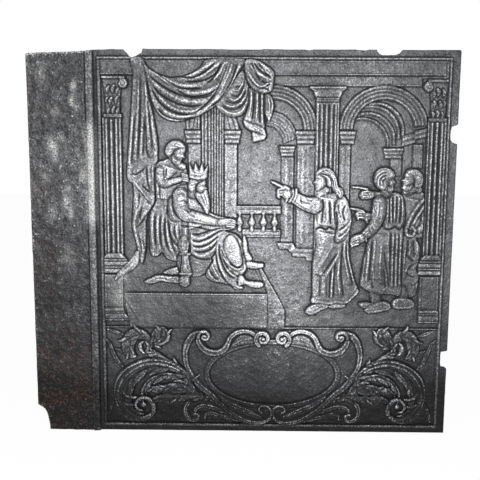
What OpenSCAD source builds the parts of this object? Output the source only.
// Cast-iron side plate of a jamb stove, kept and used as a fireback.
// A plain strip on the left once sat in the wall; the rest carries a moulded frame, a scene in
// low relief under two arches, and a frieze of scrollwork round an oval tablet.
// The casting lies on its back while it is drawn: X to the right, Y up the plate, Z out of it.
// stand_up() then turns it upright, with the origin at the middle of the bottom edge.

/* [Plate] */
// Width of the plate
plate_w = 800; // [640:1:1000]
// Height of the plate
plate_h = 735; // [600:1:900]
// Thickness of the slab and of its bare outer flange
plate_t = 11; // [8:0.5:16]
// Thickness of the boards that carry the reliefs, and of the wall strip
panel_t = 3; // [2:0.5:6]

/* [Edges] */
// Width of the plain strip that sat in the wall
strip_w = 110; // [60:1:160]
// Width of the upright rib beside the strip
rib_w = 15; // [8:1:24]
// Height of the rib above the slab
rib_h = 9; // [5:0.5:14]
// Gap between the rib and the frame
rib_gap = 7; // [3:0.5:12]
// Width of the frame's bead
bead_w = 6; // [4:0.5:10]
// Height of the bead above the slab
bead_h = 8; // [5:0.5:14]
// Width of the bare groove outside the bead
groove_w = 3; // [1:0.5:8]
// Width of the flange on the right
flange_side = 13; // [8:0.5:24]
// Width of the flange at the top
flange_top = 11; // [6:0.5:24]
// Width of the flange at the bottom
flange_foot = 9; // [6:0.5:24]

/* [Losses] */
// Depth of the two losses in the right edge
side_loss = 13; // [6:0.5:16]
// Length of the two losses in the right edge
side_loss_len = 34; // [15:1:60]
// Height of the upper one above the foot
loss_high = 583; // [450:1:590]
// Height of the lower one above the foot
loss_low = 150; // [80:1:220]
// Depth of the loss in the top edge
top_loss = 10; // [5:0.5:14]
// Length of the loss in the top edge
top_loss_len = 42; // [20:1:80]
// Depth of the nick beside the curtain
nick = 16; // [6:0.5:17]
// Length of the broken lower left corner along the foot
corner_len = 23; // [8:1:50]
// Height of the broken lower left corner
corner_h = 51; // [15:1:90]

/* [Layout] */
// Height of the frieze below the scene
frieze_h = 192; // [150:1:240]
// Height of the fillet between the two
divider_w = 3; // [2:0.5:8]
// Height of that fillet above the slab
divider_h = 6; // [4:0.5:10]

/* [Architecture] */
// Width of a column's shaft
shaft_w = 35; // [26:1:40]
// Height of a shaft above the ground
shaft_h = 5.5; // [3:0.5:9]
// Width of a flute
flute_w = 5; // [3:0.25:6]
// Thickness of the walls and piers
wall_h = 2.5; // [1.5:0.25:4]
// Height of a moulding over its wall
moulding_h = 1.6; // [0.8:0.2:3]
// Outer radius of the two great arches
arch_r = 83; // [70:0.5:90]
// Width of an arch's band
arch_w = 26; // [16:0.5:30]
// Diameter of a baluster's belly
baluster_d = 12; // [8:0.5:14]
// Height of the dais front over the ground
dais_h = 3.5; // [2:0.25:6]

/* [Figures] */
// Thickness of a figure's flat body, under its rounded forms
body_h = 3; // [2:0.25:5]
// Height of the fullest forms, such as a knee
full_h = 12; // [8:0.5:16]
// Height of the cloth between folds
cloth_h = 5; // [3:0.5:7]
// Height of a fold's ridge
fold_h = 8; // [5.5:0.5:11]

/* [Frieze] */
// Height of the tablet above the ground
tablet_h = 2; // [1:0.25:4]
// Height of the scrolls round the tablet
scroll_h = 7; // [4:0.5:10]
// Height of the leaves' flat body
leaf_body_h = 2.2; // [1.5:0.1:4]
// Height of the leaves' ribs
leaf_h = 6.5; // [4:0.5:10]

/* [Hidden] */
$fn = 48;
iron = "#4b4b4d";
iron_worn = "#6c6d70";
iron_bright = "#8b8c90";
iron_dark = "#39393b";

ground = plate_t + panel_t;
half_w = plate_w / 2;
past = 1;
reach = full_h + 8;

// The field inside the frame, split into the scene and the frieze.
field_left = -half_w + strip_w + rib_w + rib_gap + bead_w;
field_right = half_w - flange_side - groove_w - bead_w;
field_w = field_right - field_left;
frieze_y = flange_foot + groove_w + bead_w;
scene_y = frieze_y + frieze_h + divider_w;
scene_top = plate_h - flange_top - groove_w - bead_w;
scene_h = scene_top - scene_y;

// The drawing below runs between these limits; at() and low() move it to the field as set.
drawn_x = [-262, 378];
drawn_scene = [213, 715];
drawn_frieze = [18, 210];
across = field_w / (drawn_x[1] - drawn_x[0]);
up_scene = scene_h / (drawn_scene[1] - drawn_scene[0]);
up_frieze = frieze_h / (drawn_frieze[1] - drawn_frieze[0]);
function x_at(x) = field_left + (x - drawn_x[0]) * across;
function y_at(y) = scene_y + (y - drawn_scene[0]) * up_scene;
function at(p) = [x_at(p[0]), y_at(p[1])];
function low(p) = [x_at(p[0]), frieze_y + (p[1] - drawn_frieze[0]) * up_frieze];
function on_scene(points) = [for (p = points) at(p)];
function on_frieze(points) = [for (p = points) low(p)];

// A smooth closed outline through a few points, and a smooth open line.
function bend(a, b, c, d, t) =
  (2 * b + (c - a) * t + (2 * a - 5 * b + 4 * c - d) * t * t + (3 * b - a - 3 * c + d) * t * t * t) / 2;
function rounded(p, k = 2) = let (n = len(p))
  [for (i = [0 : n - 1], j = [0 : k - 1]) bend(p[(i + n - 1) % n], p[i], p[(i + 1) % n], p[(i + 2) % n], j / k)];
function flowing(p, k = 2) = let (n = len(p) - 1)
  concat(
    [for (i = [0 : n - 1], j = [0 : k - 1]) bend(p[max(i - 1, 0)], p[i], p[i + 1], p[min(i + 2, n)], j / k)],
    [p[n]]
  );
// A spiral about a centre, from radius and angle a to radius and angle b.
function spiral(c, ra, aa, rb, ab, n) =
  [for (i = [0 : n]) let (t = i / n, r = ra + (rb - ra) * t, g = aa + (ab - aa) * t) c + r * [cos(g), sin(g)]];
function oval(c, a, b, n) = [for (i = [0 : n - 1]) c + [a * cos(360 * i / n), b * sin(360 * i / n)]];

// Outlines of the raised pieces, each drawn once. What lies in front cuts what lies behind.
fall_line = on_scene(rounded([
  [-205, 714], [-202, 690], [-205, 640], [-210, 585], [-214, 535], [-215, 500], [-207, 485], [-206, 440],
  [-208, 405], [-200, 376], [-196, 352], [-189, 337], [-181, 350], [-177, 390], [-172, 425], [-164, 455],
  [-161, 500], [-158, 525], [-157, 560], [-166, 605], [-175, 655], [-178, 690], [-182, 714]
]));
swag_line = on_scene(rounded([
  [-182, 714], [-172, 697], [-155, 688], [-135, 683], [-112, 684], [-92, 691], [-75, 704], [-66, 714],
  [1, 714], [-9, 692], [-20, 672], [-32, 652], [-48, 634], [-66, 622], [-88, 612], [-118, 605],
  [-142, 609], [-157, 623], [-167, 644], [-174, 675], [-179, 695]
]));
loop_line = on_scene(rounded([
  [-50, 634], [-40, 620], [-24, 613], [-8, 613], [4, 620], [12, 634], [16, 656], [8, 680], [-10, 692],
  [-26, 668], [-38, 648]
]));
knot_line = on_scene(rounded([
  [4, 714], [2, 698], [6, 680], [12, 664], [12, 642], [7, 620], [2, 604], [6, 592], [19, 584], [20, 568],
  [42, 571], [44, 590], [42, 604], [52, 614], [60, 632], [57, 648], [50, 658], [59, 672], [62, 692],
  [56, 706], [44, 714], [24, 716]
]));
attendant_line = on_scene(rounded([
  [-145, 544], [-144, 557], [-135, 567], [-121, 569], [-108, 562], [-104, 549], [-107, 537], [-100, 524],
  [-96, 500], [-100, 470], [-116, 440], [-120, 400], [-118, 350], [-118, 312], [-130, 302], [-160, 301],
  [-183, 297], [-184, 304], [-172, 314], [-180, 340], [-177, 390], [-172, 425], [-164, 455], [-161, 500],
  [-158, 522], [-149, 534]
]));
seated_line = on_scene(rounded([
  [-98, 500], [-99, 526], [-89, 519], [-80, 529], [-72, 518], [-62, 524], [-63, 500], [-57, 486], [-60, 466],
  [-56, 440], [-48, 428], [-30, 424], [-13, 419], [-12, 406], [-22, 400], [-4, 390], [2, 374], [-2, 356],
  [6, 338], [30, 342], [42, 336], [34, 328], [18, 322], [10, 312], [38, 303], [41, 294], [22, 290], [2, 295],
  [-2, 286], [-22, 291], [-38, 303], [-58, 302], [-70, 314], [-96, 346], [-126, 344], [-156, 346],
  [-158, 400], [-150, 440], [-136, 470], [-120, 488], [-106, 490]
]));
throne_line = on_scene(rounded([
  [-122, 352], [-118, 318], [-121, 302], [-108, 289], [-94, 300], [-97, 318], [-88, 324], [-64, 322],
  [-56, 350], [-80, 358]
]));
youth_line = on_scene(rounded([
  [132, 505], [134, 516], [150, 520], [168, 512], [178, 492], [190, 474], [199, 462], [206, 430], [203, 404],
  [207, 368], [211, 325], [219, 290], [225, 277], [204, 260], [201, 250], [172, 252], [158, 246], [142, 238],
  [121, 241], [132, 260], [137, 300], [138, 350], [137, 400], [138, 434], [118, 436], [100, 448], [80, 461],
  [67, 466], [67, 482], [54, 489], [57, 497], [78, 489], [102, 475], [128, 461], [138, 474], [131, 487]
]));
near_line = on_scene(rounded([
  [248, 492], [249, 508], [262, 517], [278, 514], [288, 500], [290, 480], [302, 462], [307, 425], [304, 380],
  [305, 320], [304, 279], [330, 268], [331, 254], [306, 250], [284, 252], [262, 240], [240, 240], [222, 258],
  [232, 272], [227, 292], [229, 318], [240, 352], [247, 380], [226, 369], [206, 374], [203, 390], [224, 397],
  [236, 410], [216, 428], [202, 442], [216, 449], [232, 450], [222, 464], [206, 481], [224, 485], [245, 480]
]));
far_line = on_scene(rounded([
  [297, 494], [300, 511], [315, 518], [332, 512], [340, 494], [341, 474], [344, 464], [344, 400], [338, 350],
  [340, 318], [335, 280], [318, 270], [300, 270], [296, 330], [300, 400], [298, 460]
]));
dais_line = on_scene([[-222, 213], [50, 213], [50, 277], [-214, 277]]);
step_line = on_scene([[50, 213], [84, 213], [84, 252], [76, 262], [58, 308], [42, 330], [50, 277]]);

// The columns' footprints, right and left.
column_gap = 5;
left_axis = field_left + column_gap + shaft_w / 2;
right_axis = field_right - shaft_w / 2;
shaft_foot = y_at(348);
shaft_top = y_at(610);
base_foot = y_at(315);
pedestal_foot = y_at(222);
capital_top = y_at(686);
plinth_over = 4;
volute_over = 3;
left_side = left_axis + shaft_w / 2 + plinth_over + volute_over;
right_side = right_axis - shaft_w / 2 - plinth_over - volute_over;

// Turns the drawing upright, with the slab's middle plane on the origin.
module stand_up() translate([0, plate_t / 2, 0]) rotate([90, 0, 0]) children();

// A prism on the ground, and the same one reaching past everything, for cutting.
module slab(points, h, z = ground) translate([0, 0, z]) linear_extrude(h) polygon(points);
module cut(points) translate([0, 0, ground - past]) linear_extrude(reach + 2 * past) polygon(points);
module bar(x0, x1, y0, y1, h, z = ground) translate([x0, y0, z]) cube([x1 - x0, y1 - y0, h]);

// A rounded heap on the ground, and a run of them joined into a ridge that tapers. A ridge is as wide as drawn.
module heap(p, r, h, sides = 10) translate([p[0], p[1], ground]) scale([1, 1, h / r]) sphere(r = r, $fn = sides);
module ridge(path, w, h, w_end = 0, h_end = 0, sides = 6) {
  n = len(path) - 1;
  we = w_end == 0 ? w : w_end;
  he = h_end == 0 ? h : h_end;
  for (i = [0 : n - 1])
    hull() {
      heap(path[i], (w + (we - w) * i / n) / 2 * across, h + (he - h) * i / n, sides);
      heap(path[i + 1], (w + (we - w) * (i + 1) / n) / 2 * across, h + (he - h) * (i + 1) / n, sides);
    }
}
// A fuller run, for limbs and bodies.
module limb(path, w, h, w_end = 0, h_end = 0) ridge(path, w, h, w_end, h_end, 10);

// A carved piece: its flat body and rounded forms inside its outline, less what is in front.
module carved(line, flat, in_front = []) {
  difference() {
    intersection() {
      slab(line, reach);
      union() {
        bar(-half_w, half_w, 0, plate_h, flat + reach, ground - reach);
        children();
      }
    }
    for (other = in_front) cut(other);
  }
}

// ---- Slab, strip, panels and frame ----

// The casting's outline, with the losses along its edges.
module plate_outline() {
  right_cut = [[half_w + past, -side_loss_len / 2 - 1], [half_w - side_loss + 2, -side_loss_len / 2],
    [half_w - side_loss, -side_loss_len / 2 + 5], [half_w - side_loss, side_loss_len / 2 - 8],
    [half_w - side_loss + 2, side_loss_len / 2 - 2], [half_w + past, side_loss_len / 2 + 1]];
  top_x = x_at(268);
  nick_x = x_at(-203);
  difference() {
    polygon([[-half_w, 0], [half_w, 0], [half_w, plate_h - 2], [half_w - 3, plate_h], [nick_x - 20, plate_h],
      [nick_x - 75, plate_h - 3], [-half_w, plate_h - 8]]);
    translate([0, loss_high]) polygon(right_cut);
    translate([0, loss_low]) polygon(right_cut);
    polygon([[top_x - top_loss_len / 2, plate_h + past], [top_x - top_loss_len / 2 + 5, plate_h - top_loss + 2],
      [top_x - top_loss_len / 2 + 9, plate_h - top_loss], [top_x + top_loss_len / 2 - 12, plate_h - top_loss],
      [top_x + top_loss_len / 2, plate_h + past]]);
    polygon([[nick_x - 16, plate_h + past], [nick_x - 2, plate_h - nick], [nick_x + 3, plate_h - nick + 1],
      [nick_x + 16, plate_h - nick / 2], [nick_x + 20, plate_h + past]]);
    polygon([[-half_w - past, -past], [-half_w + corner_len, -past], [-half_w + corner_len - 2, corner_h * 0.35],
      [-half_w + corner_len * 0.75, corner_h * 0.7], [-half_w + corner_len * 0.45, corner_h * 0.9],
      [-half_w - past, corner_h]]);
  }
}

// Keeps only what has the slab behind it.
module on_plate() intersection() {
  children();
  translate([0, 0, plate_t]) linear_extrude(reach) plate_outline();
}

module plate() color(iron) stand_up() linear_extrude(plate_t) plate_outline();

module wall_strip() color(iron_dark) stand_up() on_plate()
  bar(-half_w - past, -half_w + strip_w, -past, plate_h + past, panel_t, plate_t);

// The rib: a half round along the strip, flattened at its foot.
module strip_rib() color(iron_bright) stand_up() on_plate()
  translate([-half_w + strip_w + rib_w / 2, plate_h / 2, plate_t + rib_h - rib_w / 2])
    rotate([90, 0, 0]) cylinder(d = rib_w, h = plate_h, center = true);

module scene_panel() color(iron_worn) stand_up() on_plate()
  bar(field_left, field_right, scene_y, scene_top, panel_t, plate_t);

module frieze_panel() color(iron) stand_up()
  bar(field_left, field_right, frieze_y, frieze_y + frieze_h, panel_t, plate_t);

// The bead's section: a step on the outer side and a round on the inner one.
module bead_section() {
  square([bead_w, bead_h - bead_w / 2]);
  translate([bead_w / 2, bead_h - bead_w / 2]) circle(d = bead_w);
}
module bead_run(length) translate([0, 0, plate_t]) rotate([90, 0, 90]) linear_extrude(length) bead_section();

module frame_foot() color(iron) stand_up() translate([field_left - bead_w, frieze_y - bead_w, 0])
  bead_run(field_w + 2 * bead_w);
module frame_top() color(iron_worn) stand_up() on_plate() translate([field_left - bead_w, scene_top, 0])
  bead_run(field_w + 2 * bead_w);
module frame_side(x) translate([x + bead_w, frieze_y, 0]) rotate([0, 0, 90]) bead_run(scene_top - frieze_y);
module frame_left() color(iron_worn) stand_up() frame_side(field_left - bead_w);
module frame_right() color(iron_worn) stand_up() on_plate() frame_side(field_right);

module divider() color(iron_worn) stand_up() hull() {
  bar(field_left, field_right, frieze_y + frieze_h, scene_y, divider_h - 1, plate_t);
  bar(field_left, field_right, frieze_y + frieze_h + 0.8, scene_y - 0.8, divider_h, plate_t);
}

// ---- Architecture ----

module entablature() color(iron_worn) stand_up() difference() {
  union() {
    slab([[field_left, capital_top], [left_side, capital_top], [left_side, y_at(669)], [right_side, y_at(669)],
      [right_side, y_at(682)], [field_right, y_at(682)], [field_right, scene_top], [field_left, scene_top]], wall_h);
    bar(left_side, right_side, y_at(669), y_at(671), wall_h + moulding_h);
    bar(field_left, field_right, y_at(688), y_at(691), wall_h + moulding_h);
    bar(field_left, field_right, y_at(709), scene_top, wall_h + moulding_h);
  }
  cut(fall_line);
  cut(swag_line);
  cut(loop_line);
  cut(knot_line);
}

// A shaft's section: a flat round with flutes along it.
module shaft(axis, foot, top, flutes) {
  round_r = shaft_w * shaft_w / (8 * shaft_h) + shaft_h / 2;
  pitch = shaft_w / flutes;
  translate([axis, top, ground]) rotate([90, 0, 0]) linear_extrude(top - foot) difference() {
    intersection() {
      translate([0, shaft_h - round_r]) circle(r = round_r, $fn = 180);
      translate([-shaft_w / 2, 0]) square([shaft_w, shaft_h]);
    }
    for (i = [0 : flutes - 1]) {
      x = (i - (flutes - 1) / 2) * pitch;
      translate([x, shaft_h - round_r + sqrt(round_r * round_r - x * x)]) circle(d = flute_w, $fn = 24);
    }
  }
}

// A base: a plinth, two rolls and a hollow between them.
module base(axis) {
  h = shaft_foot - base_foot;
  w = shaft_w / 2 + plinth_over;
  bar(axis - w, axis + w, base_foot, base_foot + h * 0.3, shaft_h + 1);
  bar(axis - w + 1.5, axis + w - 1.5, base_foot + h * 0.3, shaft_foot, shaft_h - 1);
  intersection() {
    for (y = [0.45, 0.82])
      translate([axis - w + 1.5, base_foot + h * y, ground + shaft_h - 2])
        rotate([0, 90, 0]) cylinder(d = h * 0.28, h = 2 * w - 3);
    bar(-half_w, half_w, 0, plate_h, reach);
  }
}

module pedestal(axis) {
  h = base_foot - pedestal_foot;
  w = shaft_w / 2 + plinth_over;
  bar(axis - w + 3, axis + w - 3, pedestal_foot, base_foot, shaft_h - 1.5);
  bar(axis - w, axis + w, pedestal_foot, pedestal_foot + h * 0.16, shaft_h);
  bar(axis - w + 1.5, axis + w - 1.5, pedestal_foot + h * 0.16, pedestal_foot + h * 0.26, shaft_h - 0.8);
}

// A capital: a bell with leaves, two volutes and an abacus.
module capital(axis, foot, top, w, side) {
  h = top - foot;
  bell = w * 0.44;
  difference() {
    hull() {
      bar(axis - bell * 0.8, axis + bell * 0.8, foot, foot + 1, shaft_h - 2);
      bar(axis - bell, axis + bell, top - 5, top - 4, shaft_h - 1);
    }
    for (s = [-1, 0, 1]) translate([axis + s * bell * 0.62, foot + h * 0.52, ground + shaft_h])
      sphere(d = bell * 0.5, $fn = 24);
  }
  bar(axis - w / 2, axis + w / 2, top - 4, top, shaft_h);
  bar(axis - bell * 0.95, axis + bell * 0.95, foot, foot + h * 0.09, shaft_h);
  for (s = side) translate([axis + s * (w / 2 - h * 0.1), top - 4 - h * 0.13, ground]) {
    cylinder(d = h * 0.24, h = shaft_h + 1);
    translate([0, 0, shaft_h + 1]) sphere(d = h * 0.1, $fn = 24);
  }
  for (s = side) translate([axis + s * bell * 0.75, foot + h * 0.42, ground]) cylinder(d = h * 0.16, h = shaft_h);
}

module left_capital() color(iron_bright) stand_up() difference() {
  capital(left_axis, shaft_top, capital_top, shaft_w + 2 * plinth_over, [1]);
  cut(fall_line);
}
module left_shaft() color(iron_bright) stand_up() shaft(left_axis, shaft_foot, shaft_top, 4);
module left_base() color(iron_worn) stand_up() difference() {
  base(left_axis);
  cut(fall_line);
}
module left_pedestal() color(iron_worn) stand_up() pedestal(left_axis);

module right_capital() color(iron_worn) stand_up() intersection() {
  capital(right_axis, shaft_top, y_at(682), shaft_w + 2 * plinth_over, [-1]);
  bar(-half_w, field_right, 0, plate_h, reach);
}
module right_shaft() color(iron_bright) stand_up() shaft(right_axis, shaft_foot, shaft_top, 4);
module right_base() color(iron_worn) stand_up() intersection() {
  base(right_axis);
  bar(-half_w, field_right, 0, plate_h, reach);
}
module right_pedestal() color(iron_worn) stand_up() intersection() {
  pedestal(right_axis);
  bar(-half_w, field_right, 0, plate_h, reach);
}

// The pilaster between the arches, half hidden by the standing figure.
pilaster_axis = x_at(158);
pilaster_w = 42 * across;
module middle_pilaster() color(iron_worn) stand_up() difference() {
  bar(pilaster_axis - pilaster_w / 2, pilaster_axis + pilaster_w / 2, y_at(360), y_at(640), shaft_h);
  for (i = [-1.5 : 1 : 1.5]) translate([pilaster_axis + i * pilaster_w / 4.6, y_at(636), ground + shaft_h]) {
    sphere(d = flute_w, $fn = 24);
    rotate([90, 0, 0]) cylinder(d = flute_w, h = y_at(636) - y_at(350), $fn = 24);
  }
  cut(youth_line);
}
module middle_capital() color(iron_worn) stand_up() {
  foot = y_at(640);
  h = y_at(669) - foot;
  for (layer = [[0, 0.25, 0.5], [0.25, 0.45, 0.56], [0.45, 0.62, 0.62], [0.62, 0.8, 0.7], [0.8, 1, 0.78]])
    bar(pilaster_axis - pilaster_w * layer[2], pilaster_axis + pilaster_w * layer[2], foot + h * layer[0],
      foot + h * layer[1], shaft_h + (layer[2] - 0.5) * 6);
}
module rear_pilaster() color(iron) stand_up() difference() {
  bar(x_at(-75), x_at(-35), y_at(420), y_at(632), wall_h);
  for (i = [0 : 4]) bar(x_at(-70 + i * 7.2), x_at(-67 + i * 7.2), y_at(425), y_at(640), wall_h, ground + 1);
  cut(swag_line);
  cut(loop_line);
  cut(seated_line);
}

// An arch: a band of stepped rings on its springing line.
module arch_band(centre, r, w, from, to) {
  rings = [[0, 0.3, wall_h], [0.26, 0.55, wall_h + 0.5], [0.5, 0.78, wall_h + 1], [0.72, 1, wall_h + moulding_h]];
  translate([centre[0], centre[1], ground]) rotate([0, 0, from])
    for (k = rings) rotate_extrude(angle = to - from, $fn = 120)
      translate([r - w + w * k[0], 0]) square([w * (k[1] - k[0]), k[2]]);
}
left_centre = at([57, 588]);
right_centre = at([262, 588]);
module arch_left() color(iron_worn) stand_up() difference() {
  arch_band(left_centre, arch_r * across, arch_w, 0, 180);
  bar(-half_w, half_w, y_at(669), plate_h, reach);
  bar(pilaster_axis - pilaster_w / 2, half_w, 0, plate_h, reach);
  bar(pilaster_axis - pilaster_w, half_w, y_at(640), plate_h, reach);
  cut(swag_line);
  cut(loop_line);
  cut(knot_line);
}
module arch_right() color(iron_worn) stand_up() difference() {
  arch_band(right_centre, arch_r * across, arch_w, 0, 180);
  bar(-half_w, half_w, y_at(669), plate_h, reach);
  bar(-half_w, pilaster_axis + pilaster_w / 2, 0, plate_h, reach);
  bar(-half_w, pilaster_axis + pilaster_w, y_at(640), plate_h, reach);
  bar(right_axis - shaft_w / 2 - plinth_over, half_w, 0, plate_h, reach);
}

// The vaults seen through the arches: bands that step back with their arches' far ends.
module vault(centre, inner) {
  intersection() {
    for (k = inner)
      translate([centre[0] + k[0] * across, centre[1] + k[1] * across, ground])
        rotate([0, 0, k[3]]) rotate_extrude(angle = k[4] - k[3], $fn = 96)
          translate([k[2] * across - k[5], 0]) square([k[5], k[6]]);
    translate([centre[0], centre[1], ground]) cylinder(r = arch_r * across - arch_w, h = reach);
    bar(-half_w, half_w, y_at(565), plate_h, reach);
  }
}
module vault_left() color(iron) stand_up() difference() {
  vault(left_centre, [[-7, -16, 50.5, 0, 100, 6, 1.6], [-12, -24, 40, -10, 90, 7, 1.1]]);
  bar(x_at(98), half_w, 0, y_at(588), reach);
  cut(swag_line);
  cut(loop_line);
  cut(knot_line);
}
module vault_right() color(iron) stand_up()
  vault(right_centre, [[-16, -2, 54, 0, 110, 5, 2], [-24, -7, 53, -5, 105, 5, 1.7],
    [-30, -18, 52, -8, 120, 5, 1.4], [-39, -25, 50, -10, 125, 6, 1.1]]);

// Imposts: three fillets, each wider than the one below.
module impost(x0, x1, y0, y1) {
  for (k = [0 : 2])
    bar(x_at(x0) + (2 - k) * 1.2, x_at(x1) - (2 - k) * 1.2, y_at(y0 + (y1 - y0) * k / 3),
      y_at(y0 + (y1 - y0) * (k + 1) / 3), wall_h + moulding_h * (k + 1) / 3);
}
module imposts() color(iron_bright) stand_up() difference() {
  union() {
    impost(-107, -76, 563, 588);
    impost(-34, -1, 563, 588);
    impost(98, 136, 563, 588);
    impost(180, 212, 563, 588);
    impost(318, 336, 563, 588);
    impost(70, 97, 540, 560);
    impost(262, 300, 538, 558);
  }
  cut(attendant_line);
  cut(seated_line);
}
module piers() color(iron) stand_up() difference() {
  union() {
    bar(x_at(-100), x_at(-76), y_at(500), y_at(563), wall_h);
    difference() {
      bar(x_at(-33), x_at(-8), y_at(425), y_at(563), wall_h);
      for (y = [473, 520]) bar(x_at(-34), x_at(-7), y_at(y), y_at(y + 2), wall_h, ground + wall_h - 0.8);
    }
    bar(x_at(103), x_at(136.5), y_at(368), y_at(563), wall_h);
    bar(x_at(74), x_at(96), y_at(378), y_at(540), wall_h - 0.8);
    bar(x_at(97), x_at(136.5), y_at(356), y_at(368), wall_h + moulding_h);
    bar(x_at(66), x_at(96), y_at(366), y_at(378), wall_h);
    bar(x_at(180), x_at(206), y_at(440), y_at(563), wall_h);
    bar(x_at(320), x_at(335), y_at(518), y_at(563), wall_h);
    bar(x_at(276), x_at(298), y_at(505), y_at(538), wall_h - 0.8);
  }
  cut(attendant_line);
  cut(seated_line);
  cut(youth_line);
  cut(near_line);
  cut(far_line);
}

// The balustrade: turned balusters let into a rail and a base, half sunk in the wall.
module baluster(x) {
  h = y_at(432) - y_at(402);
  translate([x, y_at(402), ground]) rotate([-90, 0, 0]) rotate_extrude($fn = 24)
    polygon([[0, -past], [baluster_d * 0.32, -past], [baluster_d * 0.3, h * 0.1], [baluster_d * 0.2, h * 0.2],
      [baluster_d * 0.34, h * 0.35], [baluster_d * 0.5, h * 0.55], [baluster_d * 0.34, h * 0.75],
      [baluster_d * 0.17, h * 0.9], [baluster_d * 0.28, h + past], [0, h + past]]);
}
module balustrade() color(iron_worn) stand_up() difference() {
  union() {
    bar(x_at(-8), x_at(73), y_at(432), y_at(447), wall_h);
    bar(x_at(-8), x_at(73), y_at(442), y_at(447), wall_h + moulding_h);
    bar(x_at(4), x_at(73), y_at(388), y_at(402), wall_h);
    intersection() {
      for (x = [-2, 19, 41, 62]) baluster(x_at(x));
      bar(-half_w, half_w, 0, plate_h, reach);
    }
  }
  cut(seated_line);
  cut(youth_line);
}

module dais() color(iron) stand_up() difference() {
  union() {
    slab(dais_line, dais_h);
    bar(x_at(-214), x_at(50), y_at(274), y_at(279), dais_h + 1.2);
  }
  bar(-half_w, left_axis + shaft_w / 2 + plinth_over, 0, base_foot, reach);
}
module step() color(iron) stand_up() difference() {
  slab(step_line, dais_h - 1);
  bar(x_at(-230), x_at(50), 0, y_at(279), reach);
  cut(seated_line);
}

// ---- Hangings ----

module curtain_fall() color(iron_worn) stand_up() carved(fall_line, cloth_h - 1.5, [swag_line, attendant_line]) {
  ridge(on_scene(flowing([[-197, 714], [-196, 640], [-203, 560], [-208, 500]])), 9, fold_h - 1.5);
  ridge(on_scene(flowing([[-190, 714], [-189, 640], [-192, 560], [-197, 492]])), 7, fold_h);
  ridge(on_scene(flowing([[-183, 714], [-182, 650], [-181, 560], [-184, 470]])), 8, fold_h);
  ridge(on_scene(flowing([[-176, 670], [-172, 600], [-170, 520], [-173, 455]])), 8, fold_h - 1);
  ridge(on_scene(flowing([[-166, 590], [-163, 540], [-166, 490]])), 7, fold_h - 2);
  ridge(on_scene(flowing([[-199, 480], [-200, 420], [-198, 385], [-191, 342]])), 10, fold_h - 2);
  ridge(on_scene(flowing([[-189, 470], [-188, 420], [-187, 370]])), 8, fold_h - 1);
}

// The swag: folds hung from two points, each one lower in the middle.
module curtain_swag() color(iron_bright) stand_up() carved(swag_line, cloth_h, [knot_line]) {
  ridge(on_scene(flowing([[-172, 706], [-152, 692], [-120, 686], [-92, 695], [-68, 714]])), 7, fold_h);
  ridge(on_scene(flowing([[-172, 690], [-148, 680], [-112, 672], [-78, 677], [-50, 692], [-30, 714]])), 8, fold_h + 1);
  ridge(on_scene(flowing([[-170, 674], [-146, 660], [-108, 653], [-72, 656], [-44, 672], [-18, 708]])), 8, fold_h + 1.5);
  ridge(on_scene(flowing([[-166, 657], [-142, 643], [-106, 638], [-70, 642], [-42, 658], [-14, 698]])), 8, fold_h + 1);
  ridge(on_scene(flowing([[-160, 640], [-138, 626], [-106, 622], [-72, 628], [-44, 644], [-22, 672]])), 7, fold_h);
  ridge(on_scene(flowing([[-152, 624], [-130, 611], [-100, 611], [-70, 622], [-44, 638], [-26, 660]])), 6, fold_h - 1);
}
module curtain_loop() color(iron_worn) stand_up() carved(loop_line, cloth_h - 1, [swag_line, knot_line]) {
  for (k = [0 : 3])
    ridge(on_scene(flowing([[-42 + k * 6, 634 + k * 9], [-24 + k * 3, 618 + k * 9], [-4 + k, 618 + k * 9],
      [10, 634 + k * 10]])), 6, fold_h - 2);
}
module curtain_knot() color(iron_bright) stand_up() carved(knot_line, cloth_h) {
  ridge(on_scene(flowing([[10, 706], [12, 688], [22, 670], [38, 662], [52, 672]])), 11, fold_h + 2);
  ridge(on_scene(flowing([[27, 708], [29, 692], [40, 680], [54, 684]])), 9, fold_h + 1);
  ridge(on_scene(flowing([[50, 704], [55, 690], [50, 672]])), 9, fold_h);
  ridge(on_scene(flowing([[22, 664], [20, 640], [14, 612], [12, 596]])), 9, fold_h);
  ridge(on_scene(flowing([[32, 662], [32, 630], [28, 600], [27, 578]])), 9, fold_h + 1);
  ridge(on_scene(flowing([[44, 656], [40, 630], [37, 600], [36, 578]])), 8, fold_h);
  ridge(on_scene(flowing([[50, 652], [53, 634], [49, 616]])), 7, fold_h - 1.5);
}

// ---- Figures ----

// A head: a rounded mass with a nose ridge and a mass of hair, on plain proportions.
module head(p, r, turn) {
  q = at(p);
  heap(q, r, full_h - 3, 12);
  hull() {
    heap(q + [turn * r * 0.2, 0], r * 0.8, full_h - 2, 8);
    heap(q + [turn * r * 0.5, -r * 0.2], r * 0.5, full_h - 2, 6);
  }
  hull() {
    heap(q + [-turn * r * 0.3, r * 0.3], r * 0.7, full_h - 1.5, 8);
    heap(q + [-turn * r * 0.45, -r * 0.3], r * 0.55, full_h - 3, 8);
  }
}

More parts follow.
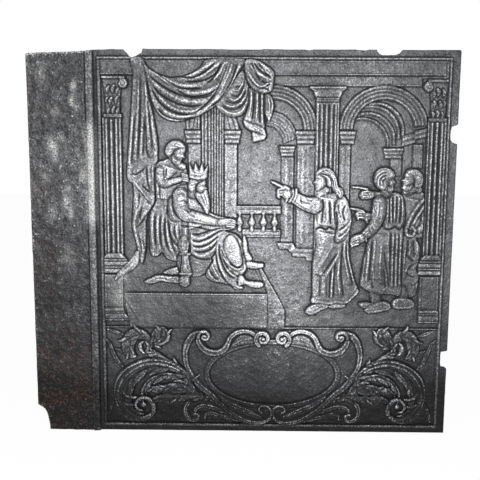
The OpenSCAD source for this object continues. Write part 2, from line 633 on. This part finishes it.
module attendant() color(iron_worn) stand_up() carved(attendant_line, body_h, [seated_line, throne_line]) {
  head([-125, 549], 18, 1);
  limb(on_scene([[-113, 538], [-108, 522]]), 15, full_h - 4, 8, 5);
  limb(on_scene([[-136, 522], [-142, 490], [-146, 455]]), 36, full_h - 3, 32, fold_h);
  limb(on_scene([[-152, 508], [-128, 502], [-104, 494]]), 16, full_h - 1, 12, full_h - 2);
  for (k = [[-166, 440, -172, 330], [-155, 442, -160, 325], [-143, 438, -148, 322], [-132, 420, -134, 320]])
    ridge(on_scene([[k[0], k[1]], [(k[0] + k[2]) / 2 + 1, (k[1] + k[3]) / 2], [k[2], k[3]]]), 9, fold_h - 1);
  ridge(on_scene([[-178, 303], [-152, 307], [-124, 309]]), 11, cloth_h + 1);
}

module seated_figure() color(iron_bright) stand_up() carved(seated_line, body_h) {
  head([-82, 486], 17, 1);
  ridge(on_scene([[-96, 508], [-80, 504], [-65, 507]]), 11, full_h - 2);
  limb(on_scene([[-72, 470], [-66, 452], [-61, 436]]), 15, full_h - 3, 8, cloth_h + 1);
  limb(on_scene([[-112, 468], [-104, 430], [-96, 398]]), 44, full_h - 3, 52, full_h - 4);
  limb(on_scene([[-122, 462], [-118, 438], [-104, 428]]), 22, full_h + 0.5, 18, full_h - 0.4);
  limb(on_scene([[-104, 428], [-64, 417], [-34, 410], [-18, 412]]), 17, full_h + 1, 9, full_h - 2);
  limb(on_scene([[-92, 388], [-52, 386], [-18, 376]]), 36, full_h - 1, 34, full_h + 1);
  limb(on_scene([[-18, 372], [-12, 342], [4, 312]]), 30, full_h, 16, fold_h);
  ridge(on_scene(flowing([[-42, 380], [-47, 350], [-38, 318], [-20, 297]])), 11, fold_h + 2, 8, fold_h);
  ridge(on_scene(flowing([[-66, 376], [-64, 345], [-54, 312]])), 12, fold_h);
  ridge(on_scene(flowing([[-32, 352], [-19, 328], [3, 319]])), 10, fold_h + 1.2);
  ridge(on_scene(flowing([[-100, 372], [-76, 360], [-48, 366]])), 9, fold_h + 2);
  ridge(on_scene([[12, 302], [34, 297]]), 12, cloth_h + 1, 9, cloth_h);
  ridge(on_scene([[14, 334], [36, 335]]), 9, cloth_h);
  for (k = [[-148, 438, -150, 352], [-136, 458, -136, 350], [-124, 430, -122, 350]])
    ridge(on_scene([[k[0], k[1]], [(k[0] + k[2]) / 2 - 2, (k[1] + k[3]) / 2], [k[2], k[3]]]), 10, fold_h);
}

module throne() color(iron_worn) stand_up() difference() {
  union() {
    slab(throne_line, body_h - 0.5);
    bar(x_at(-119), x_at(-97), y_at(318), y_at(344), cloth_h);
    intersection() {
      translate([x_at(-108), y_at(303), ground]) sphere(r = 11);
      bar(-half_w, half_w, 0, plate_h, reach);
    }
  }
  cut(seated_line);
}

module standing_youth() color(iron_bright) stand_up() carved(youth_line, body_h) {
  head([150, 498], 18, -1);
  limb(on_scene([[166, 494], [178, 478], [190, 464]]), 15, full_h - 3, 8, cloth_h);
  limb(on_scene([[166, 458], [170, 430], [170, 405]]), 56, full_h - 2, 52, full_h - 3);
  limb(on_scene([[142, 458], [114, 456], [86, 474], [58, 492]]), 26, full_h, 5, cloth_h);
  limb(on_scene([[192, 452], [198, 424], [190, 398], [170, 388]]), 19, full_h, 12, full_h - 1);
  ridge(on_scene(flowing([[150, 470], [162, 440], [178, 420]])), 8, full_h);
  for (k = [[146, 400, 142, 265], [158, 395, 156, 268], [170, 385, 168, 262], [183, 380, 186, 262], [196, 385, 206, 270]])
    ridge(on_scene(flowing([[k[0], k[1]], [(k[0] + k[2]) / 2 - 2, (k[1] + k[3]) / 2 + 8], [k[2], k[3]]])), 11, fold_h, 12, fold_h + 1);
  ridge(on_scene([[128, 244], [150, 250]]), 9, cloth_h + 1);
  ridge(on_scene([[176, 256], [196, 254]]), 8, cloth_h + 1);
}

module near_onlooker() color(iron_worn) stand_up() carved(near_line, body_h, [youth_line]) {
  head([267, 497], 18, -1);
  limb(on_scene([[282, 462], [284, 430], [282, 400]]), 40, full_h - 3, 38, full_h - 4);
  limb(on_scene([[272, 466], [248, 472], [222, 470], [210, 481]]), 17, full_h - 1, 5, cloth_h);
  limb(on_scene([[260, 450], [250, 425], [232, 432], [208, 443]]), 22, full_h, 6, cloth_h);
  limb(on_scene([[268, 420], [250, 394], [228, 384], [210, 382]]), 22, full_h, 9, full_h - 3);
  for (k = [[256, 375, 238, 296], [267, 380, 256, 288], [278, 395, 272, 285], [290, 400, 286, 283], [300, 400, 299, 283]])
    ridge(on_scene([[k[0], k[1]], [(k[0] + k[2]) / 2 + 2, (k[1] + k[3]) / 2], [k[2], k[3]]]), 10, fold_h);
  ridge(on_scene([[230, 262], [252, 248], [274, 249]]), 11, cloth_h + 1);
  ridge(on_scene([[292, 260], [324, 260]]), 11, cloth_h + 1);
}

module far_onlooker() color(iron_worn) stand_up() difference() {
  carved(far_line, body_h, [near_line]) {
    head([318, 497], 17, -1);
    ridge(on_scene([[330, 486], [336, 476]]), 12, fold_h);
    limb(on_scene([[322, 460], [320, 420], [316, 380]]), 36, full_h - 4, 32, full_h - 5);
    ridge(on_scene(flowing([[341, 460], [326, 438], [312, 404]])), 9, fold_h + 2);
    ridge(on_scene(flowing([[343, 440], [334, 420], [326, 400]])), 8, fold_h + 1);
    for (k = [[310, 385, 309, 280], [320, 385, 321, 280], [330, 380, 330, 285]])
      ridge(on_scene([[k[0], k[1]], [(k[0] + k[2]) / 2 + 2, (k[1] + k[3]) / 2], [k[2], k[3]]]), 9, fold_h - 1);
  }
  bar(right_axis - shaft_w / 2 - plinth_over, half_w, 0, y_at(348), reach);
  bar(right_axis - shaft_w / 2, half_w, 0, plate_h, reach);
}

// ---- Frieze ----

cartouche_axis = 61;
tablet_centre = low([cartouche_axis, 118]);
tablet_a = 122 * across;
tablet_b = 62 * up_frieze;
rim_w = 14;
function mirrored(points) = [for (p = points) [2 * cartouche_axis - p[0], p[1]]];
function facing(side, points) = on_frieze(side == 1 ? points : mirrored(points));

module tablet() color(iron_worn) stand_up() slab(oval(tablet_centre, tablet_a, tablet_b, 48), tablet_h);

// The left half of the frame's outline; the right half mirrors it.
half_frame = [
  [59, 188], [56, 199], [46, 208], [33, 206], [24, 199], [8, 208], [-12, 203], [-31, 195], [-38, 180], [-52, 171],
  [-68, 172], [-78, 181], [-64, 186], [-62, 199], [-74, 207], [-92, 203], [-106, 195], [-113, 176], [-115, 156],
  [-112, 138], [-104, 122], [-92, 111], [-80, 104], [-73, 86], [-84, 74], [-104, 67], [-113, 52], [-113, 36],
  [-102, 24], [-87, 26], [-86, 38], [-98, 42], [-96, 54], [-80, 54], [-66, 44], [-62, 33], [-40, 30], [-10, 26],
  [14, 21], [38, 19], [52, 23], [59, 34]
];
frame_turn = len(half_frame) - 1;
frame_line = on_frieze(rounded(concat(half_frame, mirrored([for (i = [0 : frame_turn]) half_frame[frame_turn - i]])), 1));

// The frame round the tablet: strapwork whose edges roll over into scrolls.
module half_cartouche(side) {
  shell = [[-68, 191], [-75, 201], [-92, 194], [-106, 178], [-108, 150], [-98, 126], [-82, 102]];
  hang = [[-84, 180], [-70, 165], [-46, 165], [-27, 186], [-2, 203], [26, 194]];
  curl = spiral([44, 190], 12, 110, 5, -170, 4);
  foot_band = [[-66, 82], [-35, 53], [16, 29], [44, 31], [54, 44], [40, 49]];
  lobes = [[[-92, 33], [-107, 38], [-104, 59], [-58, 65]], [[-88, 48], [-48, 42]]];
  ridge(facing(side, shell), 9, scroll_h);
  ridge(facing(side, hang), 9, scroll_h * 1.05);
  ridge(facing(side, curl), 8, scroll_h * 1.1);
  ridge(facing(side, foot_band), 13, scroll_h * 0.96, 9, scroll_h * 0.9);
  for (lobe = lobes) ridge(facing(side, lobe), 10, scroll_h * 0.9, 7, scroll_h * 0.8);
}
module cartouche() color(iron_bright) stand_up() difference() {
  intersection() {
    slab(frame_line, reach);
    union() {
      bar(field_left, field_right, frieze_y, frieze_y + frieze_h, scroll_h * 0.5 + reach, ground - reach);
      slab(oval(tablet_centre, tablet_a + rim_w, tablet_b + rim_w * 0.5, 48), scroll_h * 0.7 - 1, ground + 1);
      half_cartouche(1);
      half_cartouche(-1);
    }
  }
  cut(oval(tablet_centre, tablet_a, tablet_b, 48));
}

// An acanthus scroll: a great arching leaf with lobes, a curled sprig above and a rosette below.
module acanthus(side) {
  leaf = [
    [222, 106], [232, 128], [250, 141], [275, 149], [305, 147], [330, 136], [350, 119], [359, 90], [357, 58],
    [344, 34], [320, 23], [297, 29], [286, 42], [290, 60], [302, 71], [317, 65], [331, 62], [345, 78], [334, 92],
    [318, 84], [308, 74], [296, 88], [284, 74], [286, 62], [268, 62], [256, 70], [236, 68], [226, 86]
  ];
  sprig = [
    [246, 144], [264, 152], [276, 164], [264, 180], [262, 200], [274, 208], [300, 207], [322, 206], [338, 196],
    [341, 178], [332, 158], [318, 150], [290, 149]
  ];
  difference() {
    intersection() {
      bar(field_left, field_right, frieze_y, frieze_y + frieze_h, reach);
      union() {
        slab(facing(side, rounded(leaf)), leaf_body_h);
        slab(facing(side, rounded(sprig)), leaf_body_h);
        ridge(facing(side, [[228, 104], [246, 130], [276, 142], [308, 139], [336, 122], [350, 92], [347, 58], [328, 36],
          [302, 38]]), 12, leaf_h, 9, leaf_h - 1);
        ridge(facing(side, [[228, 96], [250, 115], [278, 117], [298, 104], [308, 80]]), 11, leaf_h * 0.96, 7, leaf_h - 1);
        ridge(facing(side, [[300, 130], [320, 113], [330, 93]]), 10, leaf_h * 0.93, 6, leaf_h - 2);
        ridge(facing(side, [[232, 88], [254, 103], [276, 104], [286, 92]]), 10, leaf_h * 0.9);
        ridge(facing(side, [[234, 74], [262, 76], [280, 68]]), 10, leaf_h * 0.85);
        ridge(facing(side, spiral([306, 56], 13, 219, 9, -19, 5)), 8, leaf_h * 1.04);
        heap(facing(side, [[306, 55]])[0], 6, leaf_h * 1.1, 8);
        ridge(facing(side, [[322, 65], [334, 71], [345, 82]]), 9, leaf_h * 0.97);
        ridge(facing(side, [[252, 147], [270, 157], [285, 166]]), 13, leaf_h * 0.92);
        ridge(facing(side, [[269, 178], [266, 194], [277, 206]]), 10, leaf_h * 0.95);
        ridge(facing(side, [[288, 181], [297, 196], [314, 202], [328, 188], [325, 164]]), 10, leaf_h);
        ridge(facing(side, [[305, 188], [313, 178], [315, 160]]), 8, leaf_h * 0.91);
      }
    }
    cut(frame_line);
  }
}
module acanthus_left() color(iron_worn) stand_up() acanthus(-1);
module acanthus_right() color(iron_worn) stand_up() acanthus(1);

plate();
wall_strip();
strip_rib();
scene_panel();
frieze_panel();
frame_left();
frame_right();
frame_top();
frame_foot();
divider();
entablature();
left_capital();
left_shaft();
left_base();
left_pedestal();
right_capital();
right_shaft();
right_base();
right_pedestal();
middle_pilaster();
middle_capital();
rear_pilaster();
arch_left();
arch_right();
vault_left();
vault_right();
imposts();
piers();
balustrade();
dais();
step();
curtain_fall();
curtain_swag();
curtain_loop();
curtain_knot();
attendant();
seated_figure();
throne();
standing_youth();
near_onlooker();
far_onlooker();
tablet();
cartouche();
acanthus_left();
acanthus_right();
